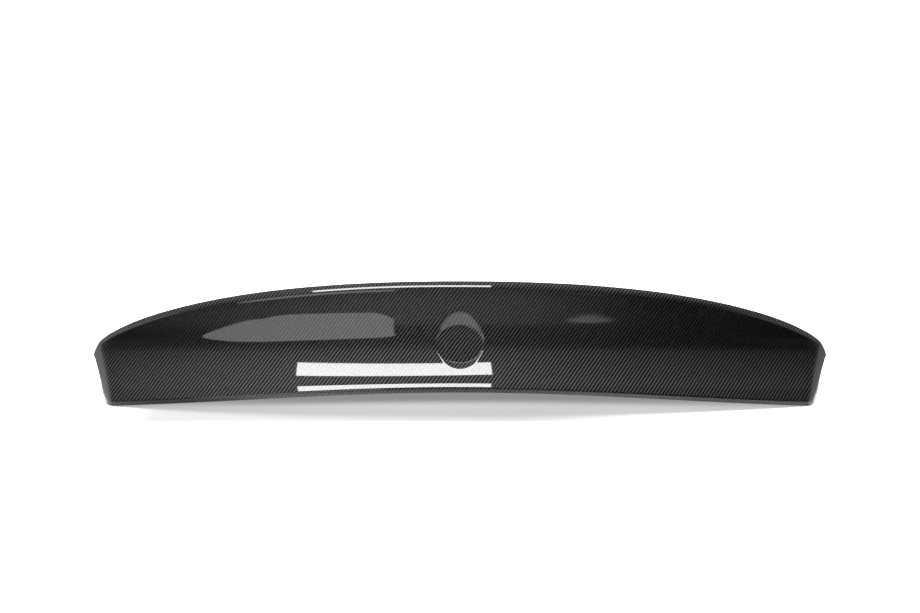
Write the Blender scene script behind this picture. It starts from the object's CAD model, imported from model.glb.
import logging
import math
from dataclasses import dataclass, field
from enum import Enum
from typing import Any, Optional, Union

import bpy
import numpy as np
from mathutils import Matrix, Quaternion, Vector


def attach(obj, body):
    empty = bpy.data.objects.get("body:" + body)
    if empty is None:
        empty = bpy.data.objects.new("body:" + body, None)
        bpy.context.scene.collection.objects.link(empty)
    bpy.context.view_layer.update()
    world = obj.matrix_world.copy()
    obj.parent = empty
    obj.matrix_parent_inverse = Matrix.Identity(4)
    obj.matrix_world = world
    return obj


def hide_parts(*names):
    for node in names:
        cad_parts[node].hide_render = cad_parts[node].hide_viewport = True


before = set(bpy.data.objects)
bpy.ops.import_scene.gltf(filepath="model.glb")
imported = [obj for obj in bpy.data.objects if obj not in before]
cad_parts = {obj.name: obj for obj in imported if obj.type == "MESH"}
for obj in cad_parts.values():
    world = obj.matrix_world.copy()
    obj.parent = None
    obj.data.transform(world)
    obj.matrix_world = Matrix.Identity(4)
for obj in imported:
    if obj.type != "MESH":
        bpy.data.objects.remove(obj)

logging.basicConfig(level=logging.INFO, format="%(name)s: %(message)s")
LOG = logging.getLogger("spoiler")
MM = 0.001
CLOTH_MAP = "cloth"
WHITE = (1.0, 1.0, 1.0, 1.0)
BLACK = (0.0, 0.0, 0.0, 1.0)
DULL_ROUGHNESS = 0.9
NEARLY_ALL = 0.999
Number = Union[float, np.ndarray]
Term = Union["Val", float]


# Small helpers for angles, blends and greys
def sin_d(angle: Number) -> Number:
    """Sine of an angle in degrees."""
    return np.sin(np.radians(angle))


def cos_d(angle: Number) -> Number:
    """Cosine of an angle in degrees."""
    return np.cos(np.radians(angle))


def mix(a: Number, b: Number, t: Number) -> Number:
    """Blends from a, where t is 0, to b, where t is 1."""
    return a + (b - a) * t


def smooth(t: Number) -> Number:
    """Eases a share of 0 to 1 at both of its ends."""
    return t * t * (3 - 2 * t)


def grey(level: float) -> tuple:
    """A grey colour of the given level."""
    return (level, level, level, 1.0)


# The section of the shell, the same form and sizes as the CAD
@dataclass
class SectionForm:
    """The outer line of the shell at any place of its span, in millimetres and degrees.

    A place of the span is n, the share of the half span from -1 to 1.
    """

    half_top: float = 646.0
    half_low: float = 599.0
    bow: float = 75.0
    front_mid: float = 242.0
    front_end: float = 236.0
    rise: float = 42.8
    front_rise: float = 30.0
    arch_mix: float = 0.34
    lip_mid: float = 205.0
    lip_end: float = 76.0
    lip_pow: float = 2.15
    lip_shape: float = 0.71
    skirt: float = 6.0
    edge_r: float = 3.0
    least_corner: float = 0.6
    band_mid: float = 8.5
    band_end: float = 28.0
    band_e: float = 56.5
    crease_r: float = 12.0
    low_e0: float = 60.0
    low_e1: float = 52.0
    valley_h: float = 95.0
    valley_tilt: float = 0.231
    valley_r: float = 95.0
    bend_e1: float = 15.0
    seat_e: float = 43.0
    upper_r: float = 375.0
    nose_r: float = 12.0
    nose_to: float = 60.0
    nose_least: float = 3.0
    strip_from: float = 51.0
    strip_to: float = 55.0
    strip_r: float = 80.0
    strip_end: float = 0.5
    strip_fade: float = 0.25
    crown_r: float = 27.0
    turn_mid: float = 24.0
    turn_end: float = 10.0
    first_top: float = 150.0
    steps: dict = field(default_factory=lambda: dict(
        skirt=3, edge=6, band=6, crease=3, dish=150, nose=10, strip=4, brow=3, crown=16, front=14))

    def arch(self, n: float) -> float:
        """Share of the full rise that the arched edges have at n, 1 in the middle."""
        return mix(1 - n * n, (1 + math.cos(math.pi * n)) / 2, self.arch_mix)

    def lip_z(self, n: float) -> float:
        """Height of the lip's top over the floor at n."""
        fall = max(0.0, 1 - abs(n) ** self.lip_pow) ** self.lip_shape
        return self.lip_end + (self.lip_mid - self.lip_end) * fall

    def band(self, n: float) -> float:
        """Width of the sloping band over the skirt at n."""
        return mix(self.band_mid, self.band_end, n * n)

    def set_forward(self) -> float:
        """How far the section's zero lies behind the middle of the part's depth."""
        return (max(self.front_mid, self.front_end) - self.bow) / 2

    @staticmethod
    def arc(p: np.ndarray, r: float, a: float, b: float) -> np.ndarray:
        """End of an arc of the section.

        Args:
            p: Where the arc starts, as depth and height.
            r: Its radius, negative for a hollow one.
            a: Lean of the outward direction at its start.
            b: The lean at its end.

        Returns:
            The end, as depth and height.
        """
        return np.asarray(p) + r * np.array([cos_d(a) - cos_d(b), sin_d(b) - sin_d(a)])

    def low_start(self, n: float) -> np.ndarray:
        """Foot of the lower face.

        Args:
            n: Share of the half span.

        Returns:
            Its depth and height.
        """
        foot = np.array([-self.bow * (1 - n * n), self.rise * self.arch(n) + self.skirt])
        p = self.arc(foot, self.edge_r, 0, self.band_e)
        p = p + self.band(n) * np.array([sin_d(self.band_e), cos_d(self.band_e)])
        return self.arc(p, self.crease_r, self.band_e, self.low_e0)

    def low_r(self, n: float) -> float:
        """Radius of the lower face, which ends on the bend's line.

        Args:
            n: Share of the half span.

        Returns:
            The radius.
        """
        p = self.low_start(n)
        out = cos_d(self.low_e1) - cos_d(self.low_e0)
        up = sin_d(self.low_e0) - sin_d(self.low_e1)
        return (self.valley_h - self.valley_tilt * p[0] - p[1]) / (up + self.valley_tilt * out)

    def bend_at(self, n: float, lean: float) -> np.ndarray:
        """Point of the hollow's bend.

        Args:
            n: Share of the half span.
            lean: The face's lean there.

        Returns:
            Its depth and height.
        """
        p = self.arc(self.low_start(n), -self.low_r(n), self.low_e0, self.low_e1)
        return self.arc(p, -self.valley_r, self.low_e1, lean)

    def lean_end(self, n: float) -> float:
        """Lean of the face right under the lip.

        Args:
            n: Share of the half span.

        Returns:
            The lean.
        """
        rise = self.nose_r * sin_d(self.nose_to) + self.crown_r * (1 - sin_d(self.nose_to))

        def lean(p: np.ndarray, r: float, a: float) -> float:
            """Lean where the arc of radius r from p meets the lip's height."""
            s = (p[1] + r * sin_d(a) + rise - self.lip_z(n)) / (r + self.nose_r)
            return math.degrees(math.asin(max(-0.9, min(0.98, s))))

        p0 = self.low_start(n)
        p1 = self.arc(p0, -self.low_r(n), self.low_e0, self.low_e1)
        p2 = self.arc(p1, -self.valley_r, self.low_e1, self.bend_e1)
        e0 = lean(p0, self.low_r(n), self.low_e0)
        e1 = lean(p1, self.valley_r, self.low_e1)
        e2 = lean(p2, self.upper_r, self.bend_e1)
        found = e0 if e0 >= self.low_e1 else e1 if e1 >= self.bend_e1 else e2
        return min(self.nose_to - self.nose_least, found)

    def hollow(self, n: float, off: float, p: np.ndarray) -> list:
        """Points of the lower face, the bend and the upper face.

        Args:
            n: Share of the half span.
            off: How far the line is set back from the outer side.
            p: Where the hollow starts.

        Returns:
            The points, without the first.
        """
        e = self.lean_end(n)
        radii = (self.low_r(n), self.valley_r, self.upper_r)
        leans = (self.low_e0, max(self.low_e1, e), max(self.bend_e1, e), e)
        turns = np.array([leans[i] - leans[i + 1] for i in range(3)])
        lengths = np.array(radii) * turns
        share = np.cumsum((lengths / lengths.sum() + turns / turns.sum()) / 2)
        starts = [np.asarray(p)]
        for i in range(2):
            starts.append(self.arc(starts[i], -radii[i] - off, leans[i], leans[i + 1]))
        out = []
        for i in range(1, self.steps["dish"] + 1):
            t = i / self.steps["dish"]
            k = next(j for j in range(3) if j == 2 or t <= share[j] or share[j] > NEARLY_ALL)
            low = share[k - 1] if k else 0.0
            lean = mix(leans[k], leans[k + 1], (t - low) / (share[k] - low))
            out.append(self.arc(starts[k], -radii[k] - off, leans[k], lean))
        return out

    def nose(self, n: float) -> list:
        """Arcs of the lip's rear edge: two tight ones with a flatter strip between.

        Args:
            n: Share of the half span.

        Returns:
            Tuples of radius, first lean, last lean and count of steps.
        """
        first = self.lean_end(n)
        low, high = max(first, self.strip_from), max(first, self.strip_to)
        fade = min(1.0, max(0.0, (abs(n) - self.strip_end) / self.strip_fade))
        flat = mix(self.strip_r, self.nose_r, smooth(fade))
        part = sin_d(high) - sin_d(low)
        whole = sin_d(self.nose_to) - sin_d(first)
        tight = (self.nose_r * whole - flat * part) / (whole - part)
        return [(tight, first, low, self.steps["nose"]), (flat, low, high, self.steps["strip"]),
                (tight, high, self.nose_to, self.steps["brow"])]

    def line(self, n: float, off: float = 0.0) -> np.ndarray:
        """The whole section from the foot to the front edge.

        Args:
            n: Share of the half span.
            off: How far the line is set back from the outer side.

        Returns:
            Rows of depth and height.
        """
        corner = max(self.edge_r - off, self.least_corner)
        cut = (corner - self.edge_r + off) * math.tan(math.radians(self.band_e / 2))
        pts = [np.array([-self.bow * (1 - n * n) + off, self.rise * self.arch(n)])]

        def straight(length: float, lean: float, count: int) -> None:
            """Adds a straight run."""
            p = pts[-1]
            way = np.array([sin_d(lean), cos_d(lean)])
            pts.extend(p + length * i / count * way for i in range(1, count + 1))

        def bend(r: float, a: float, b: float, count: int) -> None:
            """Adds an arc."""
            p = pts[-1]
            pts.extend(self.arc(p, r, a, mix(a, b, i / count)) for i in range(1, count + 1))

        straight(self.skirt - cut, 0, self.steps["skirt"])
        bend(corner, 0, self.band_e, self.steps["edge"])
        straight(self.band(n) - cut, self.band_e, self.steps["band"])
        bend(self.crease_r - off, self.band_e, self.low_e0, self.steps["crease"])
        pts.extend(self.hollow(n, off, pts[-1]))
        for r, a, b, count in self.nose(n):
            bend(r - off, a, b, count)
        c = pts[-1] + (self.crown_r - off) * np.array([cos_d(self.nose_to), -sin_d(self.nose_to)])
        front = np.array([mix(self.front_mid, self.front_end, n * n), self.front_rise * self.arch(n)])
        turn = mix(self.turn_mid, self.turn_end, n * n)
        top = self.first_top
        for _ in range(2):
            d = front - (c + self.crown_r * np.array([-cos_d(top), sin_d(top)]))
            top = 90 + math.degrees(math.atan(-d[1] / d[0])) + turn / 2
        bend(self.crown_r - off, self.nose_to, top, self.steps["crown"])
        start = c + self.crown_r * np.array([-cos_d(top), sin_d(top)])
        skin = np.linalg.norm(front - start) / (2 * sin_d(turn / 2)) + off
        s = sin_d(top) + (pts[-1][1] - front[1]) / skin
        bend(-skin, top, 180 - math.degrees(math.asin(min(1.0, s))), self.steps["front"])
        return np.array(pts)


@dataclass
class SeatForm:
    """The emblem seat: a flat round floor in an oblique pocket, in millimetres and degrees."""

    centre: np.ndarray
    radius: float = 40.0
    lean: float = 48.0
    sink: float = 1.3
    register: float = 0.5
    register_in: float = 0.7
    register_width: float = 1.2
    slope_up: float = 59.0
    slope_down: float = 23.0
    slope_back: float = 84.0
    ledge: float = 0.4
    fillet_up: float = 1.0
    fillet_down: float = 5.0
    crest: float = 0.45
    reach: float = 90.0
    under: float = 30.0
    over: float = 40.0

    def side(self, x: np.ndarray, v: np.ndarray) -> np.ndarray:
        """Height of the pocket's side over its foot, negative inside the floor.

        Args:
            x: Places across the floor.
            v: Places up the floor.

        Returns:
            The heights.
        """
        back, down = (1 / math.tan(math.radians(e)) for e in (self.slope_back, self.slope_down))
        grow, shift = (back + down) / 2, (back - down) / 2
        r = self.radius + self.ledge
        a = grow ** 2 - shift ** 2
        b = v * shift + r * grow
        root = np.sqrt(np.maximum(b * b + a * (x * x + v * v - r * r), 1e-6))
        steep = (np.hypot(x, v) - r) * math.tan(math.radians(self.slope_up))
        return np.minimum((root - b) / a, steep)

    def press(self, pts: np.ndarray) -> np.ndarray:
        """Presses the seat into the outer skin.

        Args:
            pts: Points of the skin, the last axis x, y, z.

        Returns:
            The points with the seat in them.
        """
        up = np.array([0.0, sin_d(self.lean), cos_d(self.lean)])
        out = np.array([0.0, -cos_d(self.lean), sin_d(self.lean)])
        d = pts - self.centre
        x, v, h = d[..., 0], d @ up, d @ out
        near = (np.abs(x) < self.reach) & (np.abs(v) < self.reach) & (h > -self.under) & (h < self.over)
        side = self.side(x, v)
        r = np.hypot(x, v)
        k = mix(self.fillet_down, self.fillet_up, (v / np.maximum(r, 1) + 1) / 2)
        soft = np.where(side > k, side, np.where(side < -k, 0.0, (side + k) ** 2 / (4 * k)))
        rim = np.clip((r - self.radius + self.register_in) / self.register_width, 0, 1)
        low = soft + self.register * rim - self.sink
        gap = np.clip(0.5 + (h - low) / (2 * self.crest), 0, 1)
        blended = h * (1 - gap) + low * gap - self.crest * gap * (1 - gap)
        new = np.minimum(h, blended)
        return pts + np.where(near, new - h, 0.0)[..., None] * out


# Finishes
class Side(Enum):
    """Which side of the laminate a finish is for."""

    LACQUERED = "lacquered"
    RAW = "raw"


class Val:
    """A shader socket that can be used in Python sums."""

    def __init__(self, maker: "Shader", socket: Any) -> None:
        """Wraps a socket.

        Args:
            maker: The shader the socket is in.
            socket: The socket or a number.
        """
        self.maker = maker
        self.socket = socket

    def _op(self, kind: str, *others: Term) -> "Val":
        """Adds a Math node.

        Args:
            kind: The node's operation.
            others: Its further values.

        Returns:
            The result.
        """
        made = self.maker.node("ShaderNodeMath", {"operation": kind}, dict(enumerate((self, *others))))
        return Val(self.maker, made.outputs[0])

    def __add__(self, other: Term) -> "Val":
        """This plus the other."""
        return self._op("ADD", other)

    def __radd__(self, other: Term) -> "Val":
        """The other plus this."""
        return self._op("ADD", other)

    def __sub__(self, other: Term) -> "Val":
        """This less the other."""
        return self._op("SUBTRACT", other)

    def __rsub__(self, other: Term) -> "Val":
        """The other less this."""
        return Val(self.maker, other)._op("SUBTRACT", self)

    def __mul__(self, other: Term) -> "Val":
        """This times the other."""
        return self._op("MULTIPLY", other)

    def __rmul__(self, other: Term) -> "Val":
        """The other times this."""
        return self._op("MULTIPLY", other)

    def __truediv__(self, other: Term) -> "Val":
        """This over the other."""
        return self._op("DIVIDE", other)

    def __neg__(self) -> "Val":
        """This with its sign turned."""
        return self._op("MULTIPLY", -1.0)

    def less(self, other: Term) -> "Val":
        """1 where this is under the other, else 0."""
        return self._op("LESS_THAN", other)

    def floor(self) -> "Val":
        """The whole number under this."""
        return self._op("FLOOR")

    def fract(self) -> "Val":
        """The share over the whole number."""
        return self._op("FRACT")

    def power(self, other: Term) -> "Val":
        """This to the power of the other."""
        return self._op("POWER", other)

    def size(self) -> "Val":
        """This without its sign, by way of its square."""
        return (self * self).power(0.5)

    def ramp(self, a: float, b: float) -> "Val":
        """0 to 1 as this goes from a to b, smoothly."""
        made = self.maker.node("ShaderNodeMapRange", {"interpolation_type": "SMOOTHSTEP"},
                               {"Value": self, "From Min": a, "From Max": b})
        return Val(self.maker, made.outputs["Result"])


class Shader:
    """Builds one node tree."""

    def __init__(self, owner: Union[bpy.types.Material, bpy.types.World]) -> None:
        """Empties the node tree of a material or world for building.

        Args:
            owner: The material or world.
        """
        owner.use_nodes = True
        self.tree = owner.node_tree
        self.tree.nodes.clear()

    def node(self, kind: str, settings: dict, values: dict) -> bpy.types.Node:
        """Adds a node.

        Args:
            kind: Its type.
            settings: Its own settings, set first.
            values: Socket name or number to a value or link.

        Returns:
            The node.
        """
        made = self.tree.nodes.new(kind)
        for name, value in settings.items():
            setattr(made, name, value)
        for name, value in values.items():
            value = value.socket if isinstance(value, Val) else value
            if isinstance(value, bpy.types.NodeSocket):
                self.tree.links.new(value, made.inputs[name])
            else:
                made.inputs[name].default_value = value
        return made

    def parts(self, vector: bpy.types.NodeSocket, count: int = 3) -> list:
        """Splits a vector into its numbers.

        Args:
            vector: The vector's socket.
            count: How many of its numbers are wanted.

        Returns:
            The numbers as values.
        """
        split = self.node("ShaderNodeSeparateXYZ", {}, {0: vector})
        return [Val(self, split.outputs[i]) for i in range(count)]

    def place(self, kind: str, count: int = 3) -> list:
        """Place or direction of what is shaded.

        Args:
            kind: Which coordinates.
            count: How many of their numbers are wanted.

        Returns:
            The numbers as values.
        """
        return self.parts(self.node("ShaderNodeTexCoord", {}, {}).outputs[kind], count)

    def colour(self, factor: Val, a: Any, b: Any) -> Val:
        """Mixes two colours.

        Args:
            factor: Share of the second.
            a: The first, a colour or a value.
            b: The second.

        Returns:
            The mix.
        """
        made = self.node("ShaderNodeMix", {"data_type": "RGBA"}, {0: factor, 6: a, 7: b})
        return Val(self, made.outputs[2])

    def finish(self, surface: str, values: dict, output: str = "ShaderNodeOutputMaterial") -> None:
        """Adds the surface and the output that close the tree.

        Args:
            surface: The surface's node type.
            values: Its values or links.
            output: The output's node type.
        """
        made = self.node(surface, {}, values)
        self.node(output, {}, {0: made.outputs[0]})


@dataclass(frozen=True)
class CarbonFinish:
    """Twill of black carbon tows under lacquer, or bare on the raw side.

    Lengths are in metres. Each tow goes over two others and under two.
    """

    side: Side
    tow: float = 0.0019
    turn: float = 12.0
    repeat: float = 4.0
    warp_below: float = 0.49
    warp: tuple = (0.041, 0.040, 0.038, 1.0)
    weft: tuple = (0.0010, 0.0010, 0.0011, 1.0)
    crown_tone: float = 0.8
    crown_rise: float = 0.6
    drift: float = 0.3
    drift_scale: float = 60.0
    drift_detail: float = 2.0
    metal: float = 0.0
    roughness: float = 0.45
    sheen: float = 0.05
    coat: float = 1.0
    coat_roughness: float = 0.025
    index: float = 1.5
    bump: float = 0.55
    relief: float = 0.00008
    crest: tuple = (0.0, 0.0)
    front_fade: float = 0.035
    front_tone: float = 1.0

    def weave(self, sh: Shader, cloth: bpy.types.NodeSocket) -> tuple:
        """Works out the tows from the place on the cloth.

        Args:
            sh: The shader.
            cloth: The place on the cloth.

        Returns:
            Three values: 1 on warp tows, the roundness across a tow, the arch along a warp tow.
        """
        u, v = sh.parts(cloth, 2)
        c, s = cos_d(self.turn) / self.tow, sin_d(self.turn) / self.tow
        a = u * c + v * s
        b = v * c - u * s
        warp = ((a.floor() - b.floor()) / self.repeat).fract().less(self.warp_below)
        across = (b.fract() - 0.5) * warp + (a.fract() - 0.5) * (1.0 - warp)
        along = ((a - b.floor()) / self.repeat).fract() - 0.25
        return warp, 1.0 - 4.0 * (across * across), 1.0 - 16.0 * (along * along)

    def build(self) -> bpy.types.Material:
        """Makes the material.

        Returns:
            The material.
        """
        mat = bpy.data.materials.new(f"carbon_{self.side.value}")
        sh = Shader(mat)
        cloth = sh.node("ShaderNodeUVMap", {"uv_map": CLOTH_MAP}, {}).outputs[0]
        warp, crown, arch = self.weave(sh, cloth)
        broad = sh.node("ShaderNodeTexNoise", {"noise_dimensions": "2D"},
                        {"Vector": cloth, "Scale": self.drift_scale, "Detail": self.drift_detail})
        drift = Val(sh, broad.outputs[0]) * self.drift + (1.0 - self.drift / 2)
        x, y = sh.place("Object", 2)
        front = (y - self.crest[0] - x * x * self.crest[1]).ramp(0.0, self.front_fade)
        tone = (crown * self.crown_tone + (1.0 - self.crown_tone)) * (1.0 - front * (1.0 - self.front_tone))
        tows = sh.colour(warp, self.weft, self.warp)
        height = crown * self.crown_rise + arch * warp * (1.0 - self.crown_rise)
        bump = sh.node("ShaderNodeBump", {},
                       {"Strength": self.bump, "Distance": self.relief, "Height": height})
        sh.finish("ShaderNodeBsdfPrincipled", {
            "Base Color": sh.colour(tone * drift, BLACK, tows), "Metallic": self.metal,
            "Roughness": self.roughness, "Specular IOR Level": self.sheen, "IOR": self.index,
            "Coat Weight": self.coat, "Coat Roughness": self.coat_roughness, "Coat IOR": self.index,
            "Normal": bump.outputs[0]})
        return mat


# The shell
@dataclass
class MouldedShell:
    """The one moulded piece, built as a fine grid and given its wall, in millimetres."""

    form: SectionForm = field(default_factory=SectionForm)
    wall: float = 2.4
    end_r: float = 9.0
    facet: float = 1.5
    sweep: float = 1.6
    sweep_width: float = 30.0
    sweep_rise: float = 1.6
    middle: float = 62.0
    middle_steps: int = 100
    flank_steps: int = 44
    flank_even: float = 0.35
    roll_steps: int = 9
    side_steps: int = 5
    base_even: float = 0.15
    drape_row: int = 20
    drape_fan: float = 0.2
    drape_outer: float = 1.03
    drape_bend: float = 0.83
    pull_least: float = 0.8
    pull_flat: float = 0.46
    pull_steep: float = 0.65
    rim_reach: float = 12.0
    rim_slope: float = 1.55
    merge: float = 0.01
    smooth_to: float = 40.0

    def columns(self) -> list:
        """Places across the span.

        Returns:
            Tuples of span share and set-back, from left to right.
        """
        half_low = self.form.half_low
        flat = 1 - self.end_r / half_low
        zone = self.middle / half_low
        half = [(x * zone, 0.0) for x in np.linspace(0, 1, self.middle_steps // 2 + 1)]
        for i in range(1, self.flank_steps + 1):
            t = i / self.flank_steps
            half.append((mix(zone, flat, mix(1 - (1 - t) ** 2, t, self.flank_even)), 0.0))
        for i in range(1, self.roll_steps + 1):
            q = 90 * i / self.roll_steps
            share = 1 - self.end_r / half_low * (1 - sin_d(q) ** self.facet)
            half.append((share, self.end_r * (1 - max(0.0, cos_d(q)) ** self.facet)))
        return [(-n, off) for n, off in half[:0:-1]] + half

    def ease(self, n: float) -> float:
        """Extra set-back that lets the skin sweep softly into its rolled end at n."""
        inside = (1 - abs(n)) * self.form.half_low
        return self.sweep * max(0.0, 1 - inside / self.sweep_width) ** 2

    def column(self, n: float, off: float) -> np.ndarray:
        """Points of the skin at one place of the span.

        Args:
            n: Share of the half span.
            off: Set-back of the rolled end.

        Returns:
            Rows of x, y, z.
        """
        base, line = self.form.line(n), self.form.line(n, off)
        foot = base[0, 1]
        lean = np.clip((base[:, 1] - foot) / (self.form.lip_z(n) - foot), 0, 1)
        lean[int(np.argmax(base[:, 1])):] = 1.0
        if self.ease(n) > 0:
            share = smooth(np.clip(lean * self.sweep_rise, 0, 1)[:, None])
            line = mix(line, self.form.line(n, off + self.ease(n)), share)
        x = n * mix(self.form.half_low, self.form.half_top, lean)
        return np.column_stack([x, line])

    def side_columns(self, end: np.ndarray) -> list:
        """Points of an end wall, from the rolled end down to its base line.

        Args:
            end: The last column of the skin.

        Returns:
            One set of rows for each step.
        """
        rows = len(end)
        along = (end[:, 1] - end[0, 1]) / (end[-1, 1] - end[0, 1])
        t = mix(along, np.arange(rows) / (rows - 1), self.base_even)[:, None]
        base = mix(end[0], end[-1], t)
        return [mix(end, base, k / self.side_steps) for k in range(1, self.side_steps + 1)]

    def seat(self) -> SeatForm:
        """Finds the emblem seat's place on the bend.

        Returns:
            The seat.
        """
        return SeatForm(centre=np.array([0.0, *self.form.bend_at(0, self.form.seat_e)]))

    def crest(self) -> tuple:
        """Line of the lip's highest points, as seen from above.

        Returns:
            Its depth in the middle and its bow, in metres of the row's frame.
        """
        n = 0.9
        y0, y1 = (line[np.argmax(line[:, 1]), 0] * MM for line in (self.form.line(0.0), self.form.line(n)))
        bow = (y1 - y0) / (n * self.form.half_top * MM) ** 2
        return float(y0 - self.form.set_forward() * MM), float(bow)

    def skin(self) -> tuple:
        """All points of the outer skin.

        Returns:
            Two arrays of columns, rows and x, y, z in metres, in the row's frame:
            with the seat and without it.
        """
        cols = [self.column(n, off) for n, off in self.columns()]
        left, right = self.side_columns(cols[0]), self.side_columns(cols[-1])
        pts = np.array(left[::-1] + cols + right)
        shift = np.array([0.0, self.form.set_forward(), 0.0])
        return (self.seat().press(pts) - shift) * MM, (pts - shift) * MM

    def cloth(self, pts: np.ndarray) -> np.ndarray:
        """Places on the cloth, which is draped and stretched over the lower face.

        Args:
            pts: Points of the skin without the seat, in metres.

        Returns:
            The two lengths at each point, in metres.
        """
        low = sum(self.form.steps[k] for k in ("skirt", "edge", "band", "crease"))
        row = pts[:, low + self.drape_row]
        along = np.concatenate([[0.0], np.cumsum(np.linalg.norm(np.diff(row, axis=0), axis=-1))])
        along -= along[len(row) // 2]
        edge = self.side_steps + self.roll_steps
        inner = slice(edge, len(row) - edge)
        xs, us = row[inner, 0], along[inner]
        fanned = pts[..., 0] * (1 - self.drape_fan * (pts[..., 1] - row[:, None, 1]))
        near = np.clip(fanned, xs[0], xs[-1])
        u = np.interp(near, xs, us) + (fanned - near) * self.drape_outer
        du = np.linalg.norm(np.diff(pts, axis=0), axis=-1)
        for k in range(edge, 0, -1):
            u[k - 1] = u[k] - du[k - 1]
            u[-k] = u[-k - 1] + du[-k]
        step = np.diff(pts, axis=1)
        dv = np.linalg.norm(step, axis=-1)
        steep = self.pull_steep * np.abs(step[..., 2]) / np.maximum(dv, 1e-9)
        pull = np.maximum(self.pull_least, self.pull_flat + steep)
        v = np.concatenate([np.zeros((len(row), 1)), np.cumsum(dv * pull, axis=1)], axis=1)
        shares = [n for n, _ in self.columns()]
        shares = [shares[0]] * self.side_steps + shares + [shares[-1]] * self.side_steps
        turn = math.radians(self.form.low_e0 - self.form.low_e1)
        radii = np.array([self.form.low_r(n) for n in shares])[:, None]
        v -= v[:, low:low + 1] + self.drape_bend * MM * turn * radii
        return np.stack([u, v], axis=-1)

    def build(self, lacquered: bpy.types.Material, raw: bpy.types.Material) -> bpy.types.Object:
        """Builds the shell.

        Args:
            lacquered: Finish of the outer side.
            raw: Finish of the inner side.

        Returns:
            The shell's object.
        """
        pts, plain = self.skin()
        cols, rows = pts.shape[:2]
        bpy.ops.object.select_all(action="DESELECT")
        bpy.ops.mesh.primitive_grid_add(x_subdivisions=cols - 1, y_subdivisions=rows - 1, size=1.0)
        obj = bpy.context.object
        obj.name = "spoiler_shell_fine"
        mesh = obj.data
        co = np.empty(len(mesh.vertices) * 3)
        mesh.vertices.foreach_get("co", co)
        grid = co.reshape(-1, 3)[:, :2] - co.reshape(-1, 3)[:, :2].min(0)
        grid /= grid.max(0)
        ix = np.rint(grid[:, 0] * (cols - 1)).astype(int)
        iy = np.rint(grid[:, 1] * (rows - 1)).astype(int)
        mesh.vertices.foreach_set("co", pts[ix, iy].ravel())
        while mesh.uv_layers:
            mesh.uv_layers.remove(mesh.uv_layers[0])
        layer = mesh.uv_layers.new(name=CLOTH_MAP)
        loops = np.empty(len(mesh.loops), dtype=np.int32)
        mesh.loops.foreach_get("vertex_index", loops)
        layer.data.foreach_set("uv", self.cloth(plain)[ix, iy][loops].ravel())
        mesh.update()
        mesh.materials.append(lacquered)
        mesh.materials.append(raw)
        bpy.ops.object.mode_set(mode="EDIT")
        bpy.ops.mesh.select_all(action="SELECT")
        bpy.ops.mesh.remove_doubles(threshold=self.merge * MM)
        bpy.ops.object.mode_set(mode="OBJECT")
        self.thicken(obj, pts[:, -1])
        bpy.ops.object.shade_smooth_by_angle(angle=math.radians(self.smooth_to))
        return obj

    def thicken(self, obj: bpy.types.Object, edge: np.ndarray) -> None:
        """Gives the skin its wall and levels its front rim.

        Args:
            obj: The skin.
            edge: Points of the skin's front edge.
        """
        mod = obj.modifiers.new("wall", "SOLIDIFY")
        mod.thickness = self.wall * MM
        mod.offset = -1.0
        mod.material_offset = 1
        mod.material_offset_rim = 1
        bpy.ops.object.modifier_apply(modifier="wall")
        co = np.empty(len(obj.data.vertices) * 3)
        obj.data.vertices.foreach_get("co", co)
        co = co.reshape(-1, 3)
        order = np.argsort(edge[:, 0])
        rim = np.interp(co[:, 0], edge[order, 0], edge[order, 2])
        depth = np.interp(co[:, 0], edge[order, 0], edge[order, 1])
        low = (co[:, 1] > depth - self.rim_reach * MM) & (co[:, 2] < rim)
        co[:, 1] -= np.where(low, (rim - co[:, 2]) * self.rim_slope, 0.0)
        co[:, 2] = np.where(low, rim, co[:, 2])
        co[:, 2] = np.maximum(co[:, 2], 0.0)
        obj.data.vertices.foreach_set("co", co.ravel())
        obj.data.update()


# Stage, light and camera
def hide(obj: bpy.types.Object, *rays: str) -> None:
    """Hides an object from the named kinds of rays.

    Args:
        obj: The object.
        rays: Among camera, diffuse, glossy and shadow.
    """
    for ray in rays:
        setattr(obj, f"visible_{ray}", False)


def add_light(name: str, kind: str, at: tuple, aim: tuple, roll: float = 0.0) -> bpy.types.Object:
    """Adds a light.

    Args:
        name: Its name.
        kind: Its type.
        at: Where it is.
        aim: Where it looks.
        roll: Its turn about its own line of sight, in degrees.

    Returns:
        The light's object.
    """
    obj = bpy.data.objects.new(name, bpy.data.lights.new(name, kind))
    bpy.context.collection.objects.link(obj)
    obj.location = at
    obj.rotation_mode = "QUATERNION"
    spin = Quaternion((0.0, 0.0, 1.0), math.radians(roll))
    obj.rotation_quaternion = (Vector(aim) - Vector(at)).to_track_quat("-Z", "Y") @ spin
    return obj


@dataclass(frozen=True)
class Card:
    """A lit panel over the part, seen in the lacquer only."""

    at: tuple = (-0.287, 0.1175, 1.5)
    aim: tuple = (-0.287, 0.1175, 0.0)
    size: tuple = (0.855, 0.125)
    radiance: float = 17.0
    roll: float = -2.4

    def build(self) -> None:
        """Makes the panel as an area light."""
        obj = add_light("overhead", "AREA", self.at, self.aim, self.roll)
        obj.data.shape = "RECTANGLE"
        obj.data.size, obj.data.size_y = self.size
        obj.data.energy = self.radiance * self.size[0] * self.size[1] * math.pi
        hide(obj, "diffuse")


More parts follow.
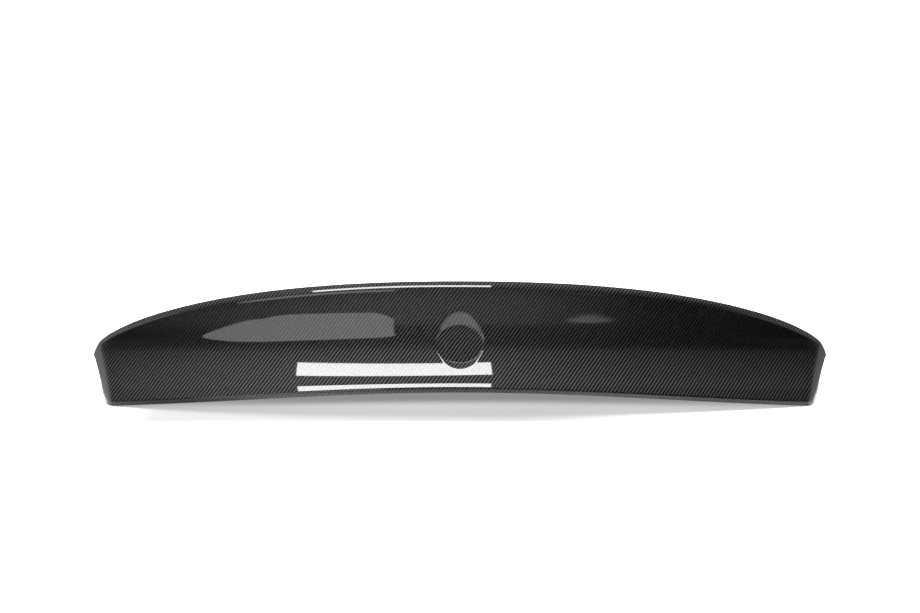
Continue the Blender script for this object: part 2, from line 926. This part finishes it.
@dataclass(frozen=True)
class Screen:
    """A glowing cloth screen with rounded corners, seen in the lacquer only.

    Each corner is a length towards the picture's left and one upwards, in metres from at.
    """

    at: tuple = (-1.2664, -2.4435, 1.6751)
    azimuth: float = 24.5
    tilt: float = 31.0
    radiance: float = 2.8
    corners: tuple = ((-0.32, 1.46), (1.20, 1.62), (1.22, 0.85), (0.48, -1.04), (-0.80, -0.80))
    rounding: float = 0.28
    rounding_steps: int = 8

    def build(self) -> None:
        """Makes the screen."""
        mat = bpy.data.materials.new("screen_cloth")
        Shader(mat).finish("ShaderNodeEmission", {"Color": WHITE, "Strength": self.radiance})
        bpy.ops.mesh.primitive_circle_add(vertices=len(self.corners), fill_type="NGON")
        obj = bpy.context.object
        obj.name = "screen"
        left = np.array([-cos_d(self.azimuth), sin_d(self.azimuth), 0.0])
        flat = np.array([sin_d(self.azimuth), cos_d(self.azimuth), 0.0]) * cos_d(self.tilt)
        up = np.cross(flat - np.array([0.0, 0.0, sin_d(self.tilt)]), left)
        for corner, (a, b) in zip(obj.data.vertices, self.corners):
            corner.co = np.array(self.at) + a * left + b * up
        bpy.ops.object.mode_set(mode="EDIT")
        bpy.ops.mesh.select_all(action="SELECT")
        bpy.ops.mesh.bevel(affect="VERTICES", offset=self.rounding, segments=self.rounding_steps)
        bpy.ops.object.mode_set(mode="OBJECT")
        obj.data.materials.append(mat)
        hide(obj, "camera", "diffuse", "shadow")


@dataclass(frozen=True)
class PaleFloor:
    """The pale floor, darker and with more glow of its own in front of the part.

    Whites are shares of the light sent back, glows are light of its own, and pairs are
    places in metres between which a zone fades.
    """

    size: float = 16.0
    sheen: float = 0.1
    white: float = 0.82
    glow: float = 0.27
    far_white: float = 0.32
    far: tuple = (0.9, 2.0)
    front_white: float = 0.13
    front_glow: float = 0.28
    front_from: tuple = (0.03, 0.11)
    front_to: tuple = (0.75, 1.1)
    front_side: tuple = (0.5, 0.66)
    strip_white: float = 0.5
    strip_from: tuple = (0.17, 0.24)
    strip_to: tuple = (0.27, 0.35)
    strip_drop: float = 0.8
    right: tuple = (0.1, 0.5)
    right_share: float = 0.6

    def build(self) -> bpy.types.Object:
        """Makes the floor.

        Returns:
            The floor's object.
        """
        mat = bpy.data.materials.new("pale_floor")
        sh = Shader(mat)
        x, y = sh.place("Object", 2)
        away = (x * x + y * y).power(0.5)
        ahead = -y
        white = sh.colour(away.ramp(*self.far), grey(self.white), grey(self.far_white))
        front = ahead.ramp(*self.front_from) * (1.0 - away.ramp(*self.front_to))
        front = front * (1.0 - x.size().ramp(*self.front_side))
        strip = ahead.ramp(*self.strip_from) * (1.0 - ahead.ramp(*self.strip_to) * self.strip_drop)
        near = strip * self.strip_white + self.front_white
        sh.finish("ShaderNodeBsdfPrincipled", {
            "Base Color": sh.colour(front * (1.0 - x.ramp(*self.right) * self.right_share), white, near),
            "Roughness": DULL_ROUGHNESS, "Specular IOR Level": self.sheen,
            "Emission Color": front * self.front_glow + self.glow, "Emission Strength": 1.0})
        bpy.ops.mesh.primitive_plane_add(size=self.size)
        floor = bpy.context.object
        floor.name = "floor"
        floor.data.materials.append(mat)
        hide(floor, "diffuse")
        return floor


@dataclass(frozen=True)
class Sky:
    """The room's glow by direction, which dull surfaces don't get.

    Single numbers are levels or shares, and pairs are parts of a direction between which a
    zone fades. But spot_at and spot_size are the place and half size of a soft spot in
    front, each as x over depth and as height.
    """

    base: float = 0.04
    front: float = 0.35
    front_wide: tuple = (0.55, 0.95)
    front_low: tuple = (0.03, 0.16)
    front_high: tuple = (0.42, 0.62)
    front_right: tuple = (0.12, 0.5)
    over: float = 0.05
    over_left: float = 0.35
    over_high: tuple = (0.8, 0.97)
    over_behind: tuple = (-0.05, 0.15)
    over_side: tuple = (0.1, 0.5)
    spot: float = 1.3
    spot_at: tuple = (0.394, 0.33)
    spot_size: tuple = (0.085, 0.11)
    spot_soft: tuple = (0.0, 0.8)
    spot_ahead: tuple = (0.3, 0.5)
    side: float = 1.7
    side_fall: float = 1.5
    side_wide: tuple = (0.52, 0.78)
    side_ahead: tuple = (0.28, 0.5)
    side_right: tuple = (0.0, 0.1)
    side_drop: float = 0.3

    def build(self) -> None:
        """Makes the world and gives it to the scene."""
        world = bpy.data.worlds.new("room")
        bpy.context.scene.world = world
        sh = Shader(world)
        world.cycles_visibility.diffuse = False
        x, y, z = sh.place("Generated")
        ahead = -y
        front = ahead.ramp(*self.front_wide) * z.ramp(*self.front_low) * (1.0 - z.ramp(*self.front_high))
        front = front * self.front * (1.0 - x.ramp(*self.front_right))
        left = (-x).ramp(*self.over_side) * self.over_left + self.over
        over = z.ramp(*self.over_high) * y.ramp(*self.over_behind) * left
        a = (x / ahead - self.spot_at[0]) / self.spot_size[0]
        b = (z - self.spot_at[1]) / self.spot_size[1]
        spot = (1.0 - a * a - b * b).ramp(*self.spot_soft) * ahead.ramp(*self.spot_ahead)
        side = x.size().ramp(*self.side_wide) * (1.0 - ahead.ramp(*self.side_ahead))
        side = side * (self.side - y * self.side_fall) * (1.0 - x.ramp(*self.side_right) * self.side_drop)
        level = front + over + spot * self.spot + side + self.base
        sh.finish("ShaderNodeBackground", {"Color": WHITE, "Strength": level}, "ShaderNodeOutputWorld")


@dataclass(frozen=True)
class Lamp:
    """A lamp that lights dull surfaces only."""

    name: str
    kind: str
    energy: float
    at: tuple
    aim: tuple = (0.0, 0.0, 0.0)

    def build(self, lit: Optional[bpy.types.Object] = None) -> bpy.types.Light:
        """Makes the lamp.

        Args:
            lit: The one object it lights, or None for all.

        Returns:
            The lamp.
        """
        obj = add_light(self.name, self.kind, self.at, self.aim)
        obj.data.energy = self.energy
        hide(obj, "glossy")
        if lit is not None:
            group = bpy.data.collections.new(f"{self.name}_lit")
            group.objects.link(lit)
            obj.light_linking.receiver_collection = group
        return obj.data


@dataclass
class Studio:
    """The pale floor, the white backdrop, the dark flag and the light round the part."""

    floor: PaleFloor = PaleFloor()
    sky: Sky = Sky()
    card: Card = Card()
    screen: Screen = Screen()
    wash: Lamp = Lamp("wash", "SUN", 8.0, (0.0, 0.21, 0.98))
    wash_angle: float = 75.0
    cloth: Lamp = Lamp("cloth", "SUN", 28.0, (-0.2, 0.65, 0.72))
    cloth_angle: float = 10.0
    fill: Lamp = Lamp("fill", "SPOT", 400.0, (-0.80, -2.0, 0.92), (-0.08, -0.1, 0.14))
    fill_cone: float = 24.0
    fill_soft: float = 0.25
    back_radius: float = 7.5
    back_height: float = 16.0
    back_glow: float = 1.1
    flag_size: float = 2.8
    flag_at: tuple = (0.0, -2.1, 0.004)
    flag_grey: float = 0.01

    def build(self, shell: bpy.types.Object) -> None:
        """Builds the studio.

        Args:
            shell: The part, which has its own light for the cloth.
        """
        floor = self.floor.build()
        back = self.backdrop()
        flag = self.flag()
        self.sky.build()
        self.card.build()
        self.screen.build()
        self.wash.build(floor).angle = math.radians(self.wash_angle)
        cloth = self.cloth.build(shell)
        cloth.angle = math.radians(self.cloth_angle)
        cloth.use_shadow = False
        fill = self.fill.build()
        fill.spot_size = math.radians(self.fill_cone)
        fill.spot_blend = 1.0
        fill.shadow_soft_size = self.fill_soft

    def backdrop(self) -> bpy.types.Object:
        """Makes the white wall round the floor, which only the camera sees.

        Returns:
            The wall's object.
        """
        mat = bpy.data.materials.new("white_backdrop")
        Shader(mat).finish("ShaderNodeEmission", {"Color": WHITE, "Strength": self.back_glow})
        bpy.ops.mesh.primitive_cylinder_add(vertices=96, radius=self.back_radius, depth=self.back_height,
                                            end_fill_type="NOTHING")
        back = bpy.context.object
        back.name = "backdrop"
        back.data.materials.append(mat)
        hide(back, "glossy", "diffuse", "shadow")
        return back

    def flag(self) -> bpy.types.Object:
        """Makes the black sheet on the floor that the upper face reflects.

        Returns:
            The sheet's object.
        """
        mat = bpy.data.materials.new("black_flag")
        Shader(mat).finish("ShaderNodeBsdfPrincipled",
                           {"Base Color": grey(self.flag_grey), "Roughness": DULL_ROUGHNESS})
        bpy.ops.mesh.primitive_plane_add(size=self.flag_size, location=self.flag_at)
        flag = bpy.context.object
        flag.name = "flag"
        flag.data.materials.append(mat)
        hide(flag, "camera", "diffuse", "shadow")
        return flag


@dataclass(frozen=True)
class PhotoCamera:
    """The camera at the photo's viewing angle."""

    target: tuple = (0.0, -0.0835, 0.095)
    distance: float = 2.6
    tilt: float = 13.0
    lens: float = 60.2
    sensor: float = 36.0
    shift_y: float = 0.049

    def build(self) -> None:
        """Makes the camera and gives it to the scene."""
        data = bpy.data.cameras.new("photo")
        data.lens, data.sensor_width, data.shift_y = self.lens, self.sensor, self.shift_y
        obj = bpy.data.objects.new("photo", data)
        bpy.context.collection.objects.link(obj)
        way = Vector((0.0, -cos_d(self.tilt), sin_d(self.tilt)))
        obj.location = Vector(self.target) + way * self.distance
        obj.rotation_euler = (math.radians(90 - self.tilt), 0.0, 0.0)
        bpy.context.scene.camera = obj


def main() -> None:
    """Builds the piece, the studio and the camera in order."""
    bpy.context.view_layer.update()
    moulded = MouldedShell()
    lacquered = CarbonFinish(Side.LACQUERED, crest=moulded.crest(), front_tone=0.3).build()
    raw = CarbonFinish(Side.RAW, warp=grey(0.05), weft=grey(0.03), metal=0.1, roughness=0.62,
                       coat=0.0, relief=0.0002).build()
    shell = moulded.build(lacquered, raw)
    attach(shell, "root")
    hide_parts("spoiler_shell")
    LOG.info("%s: %d faces", shell.name, len(shell.data.polygons))
    Studio().build(shell)
    PhotoCamera().build()
    bpy.context.scene.view_settings.view_transform = "Standard"


if __name__ == "__main__":
    main()
